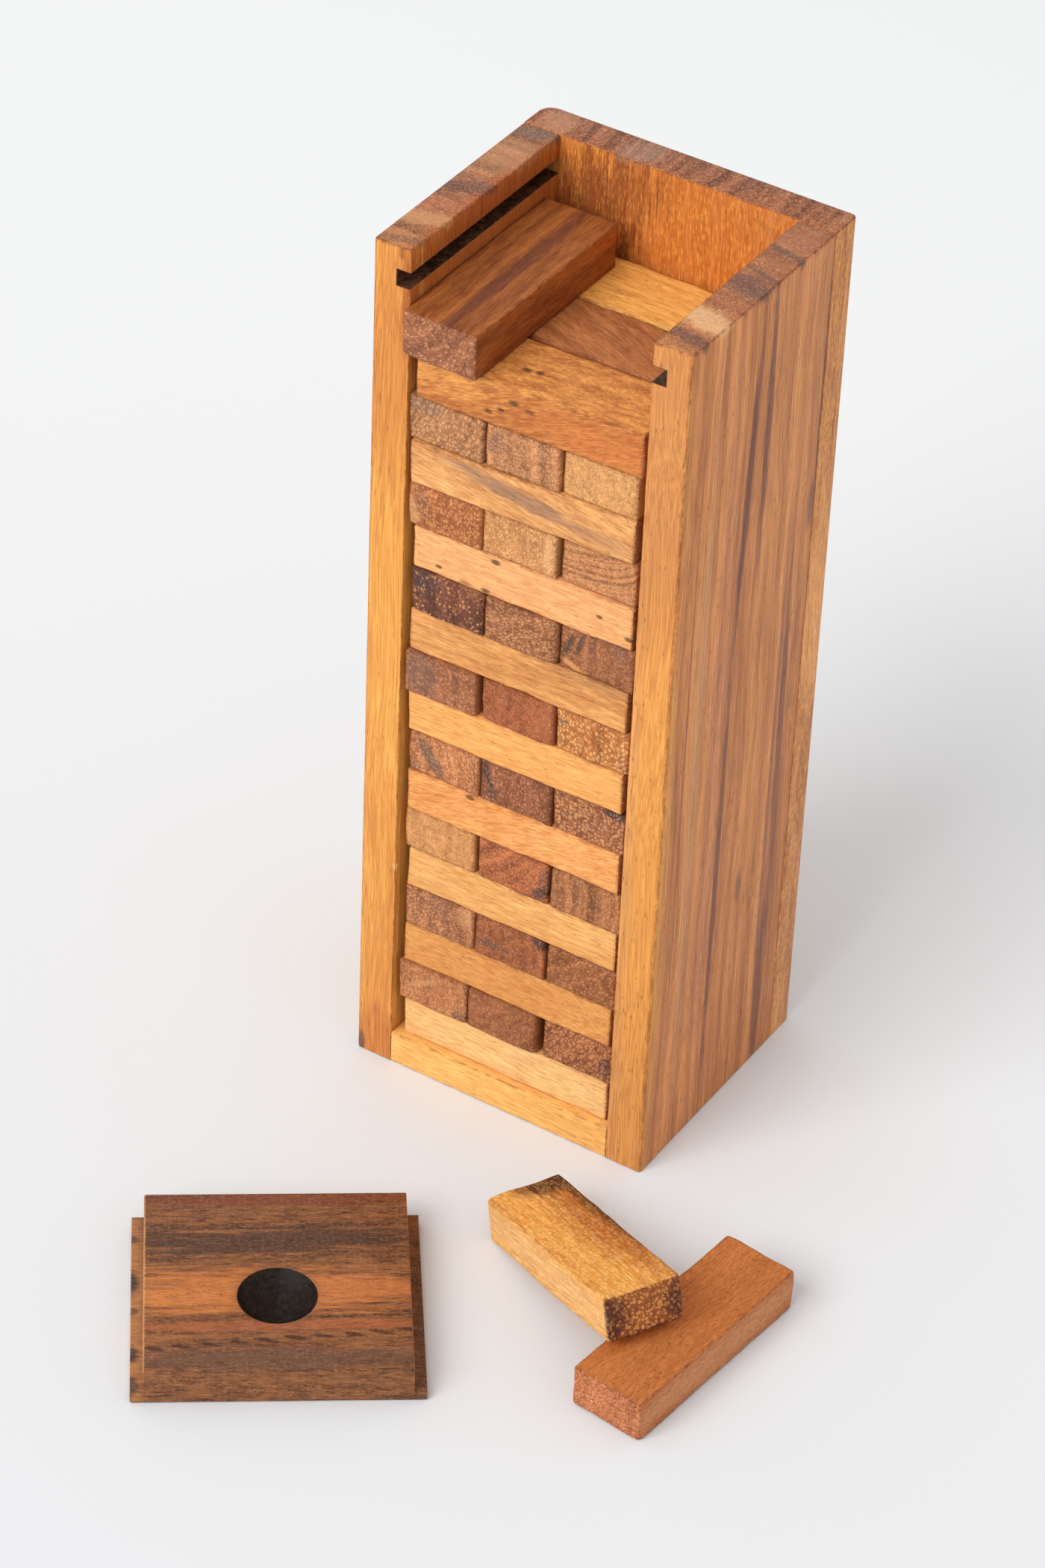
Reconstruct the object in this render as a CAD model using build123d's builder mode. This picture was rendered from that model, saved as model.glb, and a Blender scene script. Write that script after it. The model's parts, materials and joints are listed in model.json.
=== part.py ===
from build123d import *
import math
import os

# A table-top tumbling tower in its wooden case.
# X runs to the right, Y to the back and Z up. The origin is at the centre of the case's underside.
# All sizes are in millimetres and all angles in degrees.

# ---- driving dimensions: the blocks ----
block_length = 74.4
block_width = 24.8
block_height = 14.8
block_edge = 0.7
layer_gap = 0.07
depth_gap = 0.15
layers = 18

# ---- driving dimensions: the case ----
case_width = 104.0
case_depth = 89.7
case_height = 296.0
side_wall = 12.5
back_wall_thickness = 12.3
base_thickness = 11.7
groove_depth = 4.5
groove_height = 5.1
groove_bottom = 283.4
outer_edge = 1.2
inner_edge = 0.4
back_left_round = 4.5
back_right_round = 1.8

# ---- driving dimensions: the lid ----
lid_thickness = 12.5
lid_length = 75.7
lid_side_gap = 0.35
tongue_width = 3.8
tongue_thickness = 3.2
dimple_radius = 12.0
dimple_depth = 6.0
dimple_forward = 6.4
lid_edge = 0.4

# ---- where the loose pieces lie, measured from the middle of the case's front face ----
lid_place = (-4.1, -112.8)
lid_turn = 35.6
lower_block_place = (103.9, -60.1)
lower_block_turn = -5.9
upper_block_foot = (36.9, -40.3)
upper_block_turn = -29.0
upper_block_tilt = 14.8

# ---- sizes that follow ----
front = -case_depth / 2
back = case_depth / 2
inner_width = case_width - 2 * side_wall
inner_back = back - back_wall_thickness
layer_pitch = block_height + layer_gap
side_wall_depth = case_depth - back_wall_thickness
side_wall_middle = (case_width - side_wall) / 2
lid_width = inner_width - 2 * lid_side_gap
dimple_sphere = (dimple_radius**2 + dimple_depth**2) / (2 * dimple_depth)

# How far the blocks of each layer stand behind the front of the case, and where they stand across it.
# Odd layers run from side to side: (set back, sideways shift, turn of the front block).
cross_layers = {
    1: (2.4, 0.5, 0.0),
    3: (2.0, 0.4, 0.2),
    5: (1.7, 0.8, 0.1),
    7: (1.4, 0.4, 0.3),
    9: (1.1, 0.1, 0.5),
    11: (1.0, 0.2, 0.5),
    13: (0.9, 0.5, 0.6),
    15: (0.7, -0.5, 1.6),
    17: (0.6, 0.7, 1.5),
}
# Even layers run from front to back: {place: (set back, middle of the block across the case)}.
lengthwise_layers = {
    2: {"left": (1.0, -25.4), "middle": (1.0, -0.4), "right": (2.4, 26.3)},
    4: {"left": (1.4, -24.1), "middle": (1.6, 1.0), "right": (1.9, 26.4)},
    6: {"left": (1.3, -24.7), "middle": (1.4, 1.2), "right": (1.5, 26.6)},
    8: {"left": (1.0, -24.1), "middle": (1.1, 1.1), "right": (1.5, 26.4)},
    10: {"left": (-0.6, -25.4), "middle": (0.5, 1.0), "right": (1.2, 26.3)},
    12: {"left": (-0.3, -24.0), "middle": (0.0, 1.0), "right": (1.2, 26.2)},
    14: {"left": (-0.4, -25.6), "middle": (0.3, -0.6), "right": (1.3, 25.5)},
    16: {"left": (-0.5, -25.9), "middle": (0.0, -0.6), "right": (1.0, 24.6)},
    18: {"left": (-4.4, -26.7)},
}

os.makedirs("parts", exist_ok=True)


def write(part, name):
    """Label one finished piece and write it to its own file."""
    part.label = name
    export_step(part, f"parts/{name}.step")


def layer_bottom(layer):
    """Height of the underside of a layer, counted from 1 at the bottom."""
    return base_thickness + layer_gap + (layer - 1) * layer_pitch


def make_block(name, plane):
    """One block, lengthwise along the plane's x, with the middle of its underside on the plane's origin."""
    with BuildPart() as block:
        with BuildSketch(plane):
            Rectangle(block_length, block_width)
        extrude(amount=block_height)
        chamfer(block.edges(), block_edge)
    write(block.part, name)


def make_cross_layer(layer):
    """Three blocks that run from side to side, one behind the other."""
    set_back, shift, turn = cross_layers[layer]
    row_step = block_width + depth_gap
    turn_room = block_length / 2 * math.sin(math.radians(turn))
    for row, place in enumerate(("front", "middle", "back")):
        row_y = front + set_back + block_width / 2 + row * row_step
        turned = turn if place == "front" else 0.0
        row_y -= turn_room if place == "front" else 0.0
        spot = Plane(origin=(shift, row_y, layer_bottom(layer)))
        make_block(f"layer_{layer:02d}_{place}_block", spot.rotated((0, 0, turned)))


def make_lengthwise_layer(layer):
    """Up to three blocks that run from front to back, side by side."""
    for place, (set_back, across) in lengthwise_layers[layer].items():
        middle_y = front + set_back + block_length / 2
        spot = Plane(origin=(across, middle_y, layer_bottom(layer)), x_dir=(0, 1, 0), z_dir=(0, 0, 1))
        make_block(f"layer_{layer:02d}_{place}_block", spot)


# ---- the case: two grooved side walls, a full-width back wall and a base board between them ----
for side, name in ((-1, "left_wall"), (1, "right_wall")):
    with BuildPart() as wall:
        with BuildSketch(Plane.XZ.offset(-front)):
            with Locations((side * side_wall_middle, case_height / 2)):
                Rectangle(side_wall, case_height)
            groove_middle_x = side * (inner_width / 2 + groove_depth / 2)
            with Locations((groove_middle_x, groove_bottom + groove_height / 2)):
                Rectangle(groove_depth, groove_height, mode=Mode.SUBTRACT)
        extrude(amount=-side_wall_depth)
        standing = wall.edges().filter_by(Axis.Z).sort_by(Axis.X)
        outer = standing[:2] if side < 0 else standing[-2:]
        fillet(outer.sort_by(Axis.Y)[0], outer_edge)
        rim = wall.faces().sort_by(Axis.Z)[-1].edges()
        chamfer(rim.filter_by(Axis.Y), inner_edge)
    write(wall.part, name)

with BuildPart() as back_wall:
    with BuildSketch(Plane.XY):
        with Locations((0, inner_back + back_wall_thickness / 2)):
            Rectangle(case_width, back_wall_thickness)
    extrude(amount=case_height)
    back_edges = back_wall.edges().filter_by(Axis.Z).group_by(Axis.Y)[-1].sort_by(Axis.X)
    fillet(back_edges[0], back_left_round)
    fillet(back_wall.edges().filter_by(Axis.Z).group_by(Axis.Y)[-1].sort_by(Axis.X)[-1], back_right_round)
write(back_wall.part, "back_wall")

with BuildPart() as base_board:
    with BuildSketch(Plane.XY):
        with Locations((0, front + side_wall_depth / 2)):
            Rectangle(inner_width, side_wall_depth)
    extrude(amount=base_thickness)
    chamfer(base_board.edges().filter_by(Axis.X).group_by(Axis.Y)[0], inner_edge)
write(base_board.part, "base_board")

# ---- the lid: one board with a tongue along each side and a round finger dimple ----
lid_plane = Plane(origin=(lid_place[0], front + lid_place[1], 0)).rotated((0, 0, lid_turn))
with BuildPart() as lid:
    with BuildSketch(lid_plane):
        Rectangle(lid_width + 2 * tongue_width, lid_length)
    extrude(amount=tongue_thickness)
    with BuildSketch(lid_plane.offset(tongue_thickness)):
        Rectangle(lid_width, lid_length)
    extrude(amount=lid_thickness - tongue_thickness)
    chamfer(lid.faces().sort_by(Axis.Z)[-1].edges(), lid_edge)
    chamfer(lid.faces().sort_by(Axis.Z)[0].edges(), lid_edge)
    with Locations(lid_plane.offset(lid_thickness)):
        with Locations((0, -dimple_forward, dimple_sphere - dimple_depth)):
            Sphere(dimple_sphere, mode=Mode.SUBTRACT)
write(lid.part, "lid")

# ---- the tower: layers from side to side and from front to back by turns ----
for layer in range(1, layers + 1):
    if layer in cross_layers:
        make_cross_layer(layer)
    else:
        make_lengthwise_layer(layer)

# ---- the two blocks taken from the top layer: one lies flat, the other leans on it ----
lower_plane = Plane(origin=(lower_block_place[0], front + lower_block_place[1], 0))
make_block("loose_lower_block", lower_plane.rotated((0, 0, 90 + lower_block_turn)))

turn = math.radians(upper_block_turn)
tilt = math.radians(upper_block_tilt)
along = Vector(math.cos(turn) * math.cos(tilt), math.sin(turn) * math.cos(tilt), math.sin(tilt))
across = Vector(-math.sin(turn), math.cos(turn), 0)
outward = along.cross(across)
foot_drop = Vector(0, 0, block_edge * math.sin(tilt))
foot = Vector(upper_block_foot[0], front + upper_block_foot[1], 0)
upper_origin = foot + along * (block_length / 2) - foot_drop
make_block("loose_upper_block", Plane(origin=upper_origin, x_dir=along, z_dir=outward))
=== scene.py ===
"""A table-top tumbling tower in its wooden case, with the lid and two blocks lying in front."""

import json
import math

import bmesh
import bpy
from mathutils import Matrix, Vector, noise

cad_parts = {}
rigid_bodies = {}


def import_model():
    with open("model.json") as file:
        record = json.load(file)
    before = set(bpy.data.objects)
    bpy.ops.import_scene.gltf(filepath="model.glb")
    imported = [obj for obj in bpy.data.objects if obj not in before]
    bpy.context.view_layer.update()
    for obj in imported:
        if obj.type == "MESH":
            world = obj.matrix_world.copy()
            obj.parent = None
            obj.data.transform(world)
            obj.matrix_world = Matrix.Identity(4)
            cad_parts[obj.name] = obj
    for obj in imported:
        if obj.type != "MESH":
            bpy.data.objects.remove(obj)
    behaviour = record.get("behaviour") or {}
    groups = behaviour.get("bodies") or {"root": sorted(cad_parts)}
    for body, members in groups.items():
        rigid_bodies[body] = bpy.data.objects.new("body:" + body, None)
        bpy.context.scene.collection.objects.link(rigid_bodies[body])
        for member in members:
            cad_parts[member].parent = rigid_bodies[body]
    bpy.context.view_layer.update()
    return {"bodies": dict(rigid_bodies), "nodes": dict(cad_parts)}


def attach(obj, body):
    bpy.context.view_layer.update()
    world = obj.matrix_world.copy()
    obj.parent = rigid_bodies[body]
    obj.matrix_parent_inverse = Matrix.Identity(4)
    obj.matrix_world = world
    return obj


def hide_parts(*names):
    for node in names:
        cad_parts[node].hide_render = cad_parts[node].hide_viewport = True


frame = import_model()

MM = 0.001

# ---------------------------------------------------------------- node helpers


class Nodes:
    """Adds nodes to a tree in short calls."""

    def __init__(self, tree):
        self.tree = tree

    def add(self, kind, inputs=None, **settings):
        node = self.tree.nodes.new(kind)
        for name, value in settings.items():
            setattr(node, name, value)
        for name, value in (inputs or {}).items():
            self.feed(node.inputs[name], value)
        return node

    def feed(self, socket, value):
        if isinstance(value, bpy.types.NodeSocket):
            self.tree.links.new(value, socket)
        elif hasattr(value, "__len__") and len(value) == 3 and socket.type == "RGBA":
            socket.default_value = (*value, 1.0)
        else:
            socket.default_value = value

    def math(self, operation, a, b=0.0, c=0.0):
        return self.add("ShaderNodeMath", {0: a, 1: b, 2: c}, operation=operation).outputs[0]

    def vector(self, operation, a, b):
        return self.add("ShaderNodeVectorMath", {0: a, 1: b}, operation=operation).outputs[0]

    def length(self, vector):
        return self.add("ShaderNodeVectorMath", {0: vector}, operation="LENGTH").outputs["Value"]

    def combine(self, x, y, z):
        return self.add("ShaderNodeCombineXYZ", {0: x, 1: y, 2: z}).outputs[0]

    def noise(self, vector, detail=2.0, rough=0.5):
        """Noise of size one in the vector's own units."""
        inputs = {"Vector": vector, "Scale": 1.0, "Detail": detail, "Roughness": rough}
        return self.add("ShaderNodeTexNoise", inputs)

    def sway(self, vector, scale, amount):
        """The vector, pushed about by slow noise."""
        slow = self.noise(self.vector("MULTIPLY", vector, scale), detail=1.0).outputs["Color"]
        push = self.vector("SUBTRACT", slow, (0.5, 0.5, 0.5))
        return self.vector("ADD", vector, self.vector("MULTIPLY", push, amount))

    def ramp(self, value, low, high):
        """0 at low, 1 at high and smooth between, and low may be above high."""
        inputs = {"Value": value, "From Min": low, "From Max": high}
        return self.add("ShaderNodeMapRange", inputs, interpolation_type="SMOOTHSTEP").outputs["Result"]

    def mix(self, factor, a, b, blend="MIX"):
        node = self.add("ShaderNodeMix", data_type="RGBA", blend_type=blend)
        for index, value in ((0, factor), (6, a), (7, b)):
            self.feed(node.inputs[index], value)
        return node.outputs[2]


# ---------------------------------------------------------------- camera and light

CAMERA_AZIMUTH = 31.12
CAMERA_ELEVATION = 37.76
CAMERA_ROLL = 2.55
CAMERA_PLACE = Vector((0.6336, -1.0875, 1.0720))
CAMERA_LENS = 120.6

SKY_STRENGTH = 0.77
KEY_LIGHT = dict(azimuth=-14, elevation=40, distance=5.0, size=3.1, power=165)
LIGHT_AIM = Vector((0, 0, 0.12))

# The floor's colour is painted light: darker near the object than far back, and a little cool near the
# object to offset the warm light the timber throws on it.
FLOOR_REACH = 6.0
FLOOR_NEAR = (0.7203, 0.735, 0.753375)
FLOOR_FAR = (0.82665, 0.835, 0.839175)
FLOOR_PAINTED_LIGHT_FADE = (-0.45, 0.5)  # from near to far, in metres back from the tower


def make_camera():
    """The viewpoint: from the front right and above, through a long lens."""
    data = bpy.data.cameras.new("camera")
    data.lens = CAMERA_LENS
    data.sensor_width = 36.0
    camera = bpy.data.objects.new("camera", data)
    turn = Matrix.Rotation(math.radians(CAMERA_AZIMUTH), 4, "Z")
    tip = Matrix.Rotation(math.radians(90 - CAMERA_ELEVATION), 4, "X")
    roll = Matrix.Rotation(math.radians(CAMERA_ROLL), 4, "Z")
    camera.matrix_world = Matrix.Translation(CAMERA_PLACE) @ turn @ tip @ roll
    bpy.context.scene.collection.objects.link(camera)
    bpy.context.scene.camera = camera


def make_area_light(name, azimuth, elevation, distance, size, power):
    """A square soft box that faces the tower, azimuth 0 being straight in front."""
    data = bpy.data.lights.new(name, "AREA")
    data.shape = "SQUARE"
    data.size = size
    data.energy = power
    light = bpy.data.objects.new(name, data)
    a, e = math.radians(azimuth), math.radians(elevation)
    away = Vector((math.sin(a) * math.cos(e), -math.cos(a) * math.cos(e), math.sin(e)))
    light.location = LIGHT_AIM + away * distance
    light.rotation_euler = away.to_track_quat("Z", "Y").to_euler()
    bpy.context.scene.collection.objects.link(light)


def make_world():
    """Even white light from all round."""
    world = bpy.data.worlds.new("world")
    world.use_nodes = True
    background = world.node_tree.nodes["Background"]
    background.inputs["Color"].default_value = (1.0, 1.0, 1.0, 1.0)
    background.inputs["Strength"].default_value = SKY_STRENGTH
    bpy.context.scene.world = world


def make_floor():
    """A pale seamless floor, which isn't part of the object. Its colour is painted light, darker and
    cooler near the object and brighter far back.
    """
    mesh = bpy.data.meshes.new("floor")
    corners = [(x * FLOOR_REACH, y * FLOOR_REACH, 0) for x, y in ((-1, -1), (1, -1), (1, 1), (-1, 1))]
    mesh.from_pydata(corners, [], [(0, 1, 2, 3)])
    material = bpy.data.materials.new("floor")
    material.use_nodes = True
    n = Nodes(material.node_tree)
    shader = n.tree.nodes["Principled BSDF"]
    ground = n.add("ShaderNodeTexCoord").outputs["Object"]
    back = n.add("ShaderNodeSeparateXYZ", {0: ground}).outputs["Y"]
    # painted light: the floor's colour grows brighter from near the object to far back
    n.feed(shader.inputs["Base Color"], n.mix(n.ramp(back, *FLOOR_PAINTED_LIGHT_FADE), FLOOR_NEAR, FLOOR_FAR))
    shader.inputs["Roughness"].default_value = 0.9
    shader.inputs["Specular IOR Level"].default_value = 0.05
    mesh.materials.append(material)
    floor = bpy.data.objects.new("floor", mesh)
    floor.location.z = -0.1 * MM  # clear of the undersides that rest on it
    bpy.context.scene.collection.objects.link(floor)


# ---------------------------------------------------------------- timber

# How a board looks unless its own look says otherwise. Lengths are in millimetres and angles in degrees.
BASE_LOOK = {
    "side": None,  # darkest and lightest long grain, which otherwise follow from the end grain
    "end": ((0.24, 0.09, 0.04), (0.66, 0.31, 0.13)),  # ground and speckles of the end grain
    "fleck": None,  # the pale dashes of the long grain
    "bend": 0.012,  # how far the growth rings are bent across the board
    "ring_scale": 0.25,
    "rings": 0.4,
    "streaks": 0.45,
    "streak_length": 14.0,
    "lines": 0.45,
    "patches": 0.25,
    "pores": 0.45,
    "pore_length": 4.5,
    "flecks": 0.15,
    "speckle": 0.85,  # from one pore to the next
    "stretch": 1.2,  # how much longer than deep the speckles are along the rings
    "width": 0.5,
    "amount": 0.9,
    "crowd": 0.7,
    "web": 0.35,  # how pale the web between the pores is
    "ring_turn": 0.0,  # of the rings about the grain
    "tilt": 0.0,  # of the grain about the board's z
    "dip": 0.0,  # of the grain about the board's y
    # how edges are darkened: dirt on the rough cut edges, and painted shade in the gaps between blocks
    "edge_dirt_and_shade": (0.42, 0.29, 0.24),
    "marks": (),
}

WOOD_NUMBERS = (
    "bend",
    "ring_scale",
    "rings",
    "streaks",
    "streak_length",
    "lines",
    "patches",
    "pores",
    "pore_length",
    "flecks",
    "speckle",
    "stretch",
    "width",
    "amount",
    "crowd",
    "web",
)
WOOD_COLOURS = ("side_dark", "side_light", "fleck", "ground", "speckles")
WOOD_OUTPUTS = (
    ("Color", "NodeSocketColor"),
    ("Speckle Color", "NodeSocketColor"),
    ("Speckle", "NodeSocketFloat"),
    ("Shade", "NodeSocketColor"),
    ("Height", "NodeSocketFloat"),
)


def add_grain_axes(n, given):
    """How far a point lies along the grain, through the rings and round them. The grain wanders."""
    wandering = n.sway(given["place"], (0.011, 0.035, 0.035), (0.0, 8.0, 8.0))
    parts = n.add("ShaderNodeSeparateXYZ", {0: wandering}).outputs
    along, tangent = parts["X"], parts["Z"]
    radial = n.math("MULTIPLY_ADD", n.math("MULTIPLY", tangent, tangent), given["bend"], parts["Y"])
    return along, radial, tangent


def add_tone(n, given, radial, streak_at):
    """One tone from dark to light, out of growth rings, streaks, fine lines and patches."""
    ring_inputs = {"W": n.math("MULTIPLY", radial, given["ring_scale"]), "Scale": 1.0, "Detail": 3.0}
    rings = n.add("ShaderNodeTexNoise", ring_inputs, noise_dimensions="1D")
    streaks = n.noise(streak_at, detail=3.0, rough=0.6)
    lines = n.noise(n.vector("MULTIPLY", streak_at, (2.5, 3.6, 3.6)), detail=4.0, rough=0.7)
    patches = n.noise(n.vector("MULTIPLY", given["place"], (0.014, 0.07, 0.07)))
    tone = 0.5
    swings = ((rings, "rings"), (streaks, "streaks"), (lines, "lines"), (patches, "patches"))
    for texture, strength in swings:
        swing = n.math("MULTIPLY", n.math("SUBTRACT", texture.outputs[0], 0.5), given[strength])
        tone = n.math("MULTIPLY_ADD", swing, 3.2, tone)
    return n.math("MAXIMUM", n.math("MINIMUM", tone, 1.0), 0.0)


def add_pores(n, given, along, radial, tangent):
    """The speckle, which is pale halos joined by a pale web, and the open pores in the halos' middles.

    They are long along the grain, so they are dots on an end and dashes on a side."""
    cell = n.combine(
        n.math("DIVIDE", along, given["pore_length"]),
        n.math("DIVIDE", radial, given["speckle"]),
        n.math("DIVIDE", tangent, n.math("MULTIPLY", given["speckle"], given["stretch"])),
    )
    cell = n.sway(cell, (0.3, 0.22, 0.22), (0.8, 2.2, 2.2))
    pores = n.add("ShaderNodeTexVoronoi", {"Vector": cell, "Scale": 1.0, "Randomness": 0.75})
    distance = pores.outputs["Distance"]
    chance = n.add("ShaderNodeSeparateColor", {0: pores.outputs["Color"]}).outputs[0]
    crowd = n.noise(n.vector("MULTIPLY", given["place"], (0.05, 0.2, 0.2)), detail=1.0).outputs[0]
    crowd = n.math("ADD", n.math("ADD", chance, crowd), given["crowd"])
    inner = n.math("MULTIPLY", given["width"], 0.6)
    halo = n.math("MULTIPLY", n.ramp(distance, given["width"], inner), n.ramp(crowd, 1.1, 1.3))
    web = n.noise(n.vector("MULTIPLY", cell, (0.8, 0.9, 0.9)), detail=1.0).outputs[0]
    web = n.ramp(n.math("ABSOLUTE", n.math("SUBTRACT", web, 0.5)), 0.08, 0.02)
    web = n.math("MULTIPLY", n.math("MULTIPLY", web, given["web"]), n.ramp(crowd, 0.9, 1.5))
    core = n.math("MULTIPLY", n.ramp(distance, 0.25, 0.11), n.ramp(chance, 0.5, 0.62))
    return n.math("MAXIMUM", halo, web), core


def make_wood_group():
    """Solid timber in millimetres: the grain runs along x, and the growth rings follow along y."""
    group = bpy.data.node_groups.new("timber", "ShaderNodeTree")
    sockets = [("place", "NodeSocketVector"), ("end", "NodeSocketFloat")]
    sockets += [(name, "NodeSocketColor") for name in WOOD_COLOURS]
    sockets += [(name, "NodeSocketFloat") for name in WOOD_NUMBERS]
    for name, kind in sockets:
        group.interface.new_socket(name, in_out="INPUT", socket_type=kind)
    for name, kind in WOOD_OUTPUTS:
        group.interface.new_socket(name, in_out="OUTPUT", socket_type=kind)
    n = Nodes(group)
    given = n.add("NodeGroupInput").outputs
    out = n.add("NodeGroupOutput")
    along, radial, tangent = add_grain_axes(n, given)
    streak_at = n.combine(
        n.math("DIVIDE", along, given["streak_length"]),
        n.math("MULTIPLY", radial, 0.55),
        n.math("MULTIPLY", tangent, 0.55),
    )
    tone = add_tone(n, given, radial, streak_at)
    speckle, core = add_pores(n, given, along, radial, tangent)
    fibres = n.noise(n.vector("MULTIPLY", streak_at, (2.3, 4.5, 4.5)), rough=0.7).outputs[0]
    fibre_tone = n.ramp(fibres, 0.28, 0.72)

    # the plain colours of the long grain and of the end grain
    side = n.mix(tone, given["side_dark"], given["side_light"])
    ground_shade = n.mix(tone, (0.62, 0.57, 0.56), (1.6, 1.62, 1.6))
    ground = n.mix(1.0, given["ground"], ground_shade, "MULTIPLY")
    n.feed(out.inputs["Color"], n.mix(given["end"], side, ground))

    # the speckles that lie over them
    speckle_shade = n.mix(tone, (0.74, 0.7, 0.7), (1.1, 1.1, 1.1))
    bright = n.mix(1.0, given["speckles"], speckle_shade, "MULTIPLY")
    n.feed(out.inputs["Speckle Color"], n.mix(given["end"], given["fleck"], bright))
    share = n.add("ShaderNodeMix", {0: given["end"], 2: given["flecks"], 3: given["amount"]}).outputs[0]
    n.feed(out.inputs["Speckle"], n.math("MULTIPLY", speckle, share))

    # fibres and open pores darken everything
    fibre_dark = n.mix(given["end"], (0.74, 0.67, 0.62), (0.84, 0.82, 0.8))
    shade = n.mix(fibre_tone, fibre_dark, (1.14, 1.15, 1.15))
    open_pore = n.math("MULTIPLY", core, given["pores"])
    n.feed(out.inputs["Shade"], n.mix(open_pore, shade, (0.34, 0.24, 0.22)))
    n.feed(out.inputs["Height"], n.math("SUBTRACT", n.math("MULTIPLY", fibre_tone, 0.4), core))
    return group


WOOD = make_wood_group()


def make_timber(name, number, **changes):
    """One board's own material. number moves it through the timber, so that no two boards match."""
    look = {**BASE_LOOK, **changes}
    material = bpy.data.materials.new(name)
    material.use_nodes = True
    n = Nodes(material.node_tree)
    shader = n.tree.nodes["Principled BSDF"]
    place = n.add("ShaderNodeAttribute", attribute_name="place").outputs["Vector"]
    end = n.add("ShaderNodeAttribute", attribute_name="end_grain").outputs["Fac"]
    edge = n.add("ShaderNodeAttribute", attribute_name="edge").outputs["Fac"]
    turns = [math.radians(look[key]) for key in ("ring_turn", "dip", "tilt")]
    mapping = {"Vector": place, "Location": (number * 137.0, number * 31.0, 0.0), "Rotation": turns}
    mapped = n.add("ShaderNodeMapping", mapping).outputs[0]
    look["ground"], look["speckles"] = look["end"]
    middle = tuple(sum(pair) / 2 for pair in zip(*look["end"]))
    look["side_dark"], look["side_light"] = look["side"] or (look["ground"], middle)
    look["fleck"] = look["fleck"] or tuple(min(part * 1.2, 0.95) for part in look["side_light"])
    wood = n.add("ShaderNodeGroup", node_tree=WOOD)
    n.feed(wood.inputs["place"], mapped)
    n.feed(wood.inputs["end"], end)
    for key in WOOD_COLOURS + WOOD_NUMBERS:
        n.feed(wood.inputs[key], look[key])
    colour = wood.outputs["Color"]
    for mark in look["marks"]:
        colour = add_mark(n, place, colour, *mark)
    bright = n.mix(0.3, wood.outputs["Speckle Color"], colour)
    if look["marks"]:
        stain = n.mix(1.0, colour, wood.outputs["Color"], "DIVIDE")
        stain = n.mix(1.0, stain, (1.0, 1.0, 1.0), "DARKEN")
        bright = n.mix(1.0, bright, n.mix(0.6, (1.0, 1.0, 1.0), stain), "MULTIPLY")
    colour = n.mix(wood.outputs["Speckle"], colour, bright)
    colour = n.mix(1.0, colour, wood.outputs["Shade"], "MULTIPLY")
    # painted shade and dirt: the colour darkens along the edges, for the rough cut edges and for the
    # shade in the gaps between blocks
    nibbles = n.noise(n.vector("MULTIPLY", place, (0.3, 0.9, 0.9)), detail=3.0, rough=0.7).outputs[0]
    worn_and_shaded_edge = n.math("MULTIPLY", edge, n.ramp(nibbles, 0.35, 0.65))
    dirt_and_shade = n.mix(worn_and_shaded_edge, (1.0, 1.0, 1.0), look["edge_dirt_and_shade"])
    n.feed(shader.inputs["Base Color"], n.mix(1.0, colour, dirt_and_shade, "MULTIPLY"))
    n.feed(shader.inputs["Roughness"], n.math("MULTIPLY_ADD", wood.outputs["Height"], -0.12, 0.5))
    shader.inputs["Specular IOR Level"].default_value = 0.2
    relief = {"Height": wood.outputs["Height"], "Strength": 0.5, "Distance": 0.12 * MM}
    n.feed(shader.inputs["Normal"], n.add("ShaderNodeBump", relief).outputs[0])
    return material


def add_mark(n, place, colour, centre, radii, tint, strength=0.8, ragged=0.4, turn=(0, 0, 0)):
    """A knot, stain, stripe or pale patch: an uneven ellipsoid, in millimetres and degrees."""
    mapping = {
        "Vector": place,
        "Location": centre,
        "Rotation": tuple(math.radians(angle) for angle in turn),
        "Scale": radii,
    }
    reach = n.length(n.add("ShaderNodeMapping", mapping, vector_type="TEXTURE").outputs[0])
    uneven = n.noise(n.vector("MULTIPLY", place, (0.05, 0.6, 0.6)), detail=3.0, rough=0.65).outputs[0]
    uneven = n.math("MULTIPLY", n.math("SUBTRACT", uneven, 0.5), ragged * 3)
    mask = n.ramp(n.math("ADD", reach, uneven), 1.15, 0.45)
    return n.mix(n.math("MULTIPLY", mask, strength), colour, tint)


def make_scorched(name, dark, light):
    """Timber burnt by the cutter, with the wood showing through in specks."""
    material = bpy.data.materials.new(name)
    material.use_nodes = True
    n = Nodes(material.node_tree)
    shader = n.tree.nodes["Principled BSDF"]
    place = n.add("ShaderNodeAttribute", attribute_name="place").outputs["Vector"]
    burn = n.noise(n.vector("MULTIPLY", place, (0.5, 0.5, 0.5)), detail=4.0, rough=0.7).outputs[0]
    specks = n.noise(n.vector("MULTIPLY", place, (1.5, 3.0, 3.0)), detail=2.0, rough=0.7).outputs[0]
    colour = n.mix(n.ramp(burn, 0.35, 0.75), dark, light)
    colour = n.mix(n.math("MULTIPLY", n.ramp(specks, 0.62, 0.78), 0.5), colour, (0.16, 0.09, 0.05))
    n.feed(shader.inputs["Base Color"], colour)
    n.feed(shader.inputs["Roughness"], n.math("MULTIPLY_ADD", burn, 0.4, 0.2))
    shader.inputs["Specular IOR Level"].default_value = 0.12
    relief = {"Height": specks, "Strength": 0.6, "Distance": 0.2 * MM}
    n.feed(shader.inputs["Normal"], n.add("ShaderNodeBump", relief).outputs[0])
    return material


SCORCHED = make_scorched("scorched_timber", (0.025, 0.011, 0.007), (0.13, 0.05, 0.022))
CHARRED = make_scorched("charred_timber", (0.006, 0.0045, 0.004), (0.032, 0.018, 0.013))

# ---------------------------------------------------------------- shapes

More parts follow.
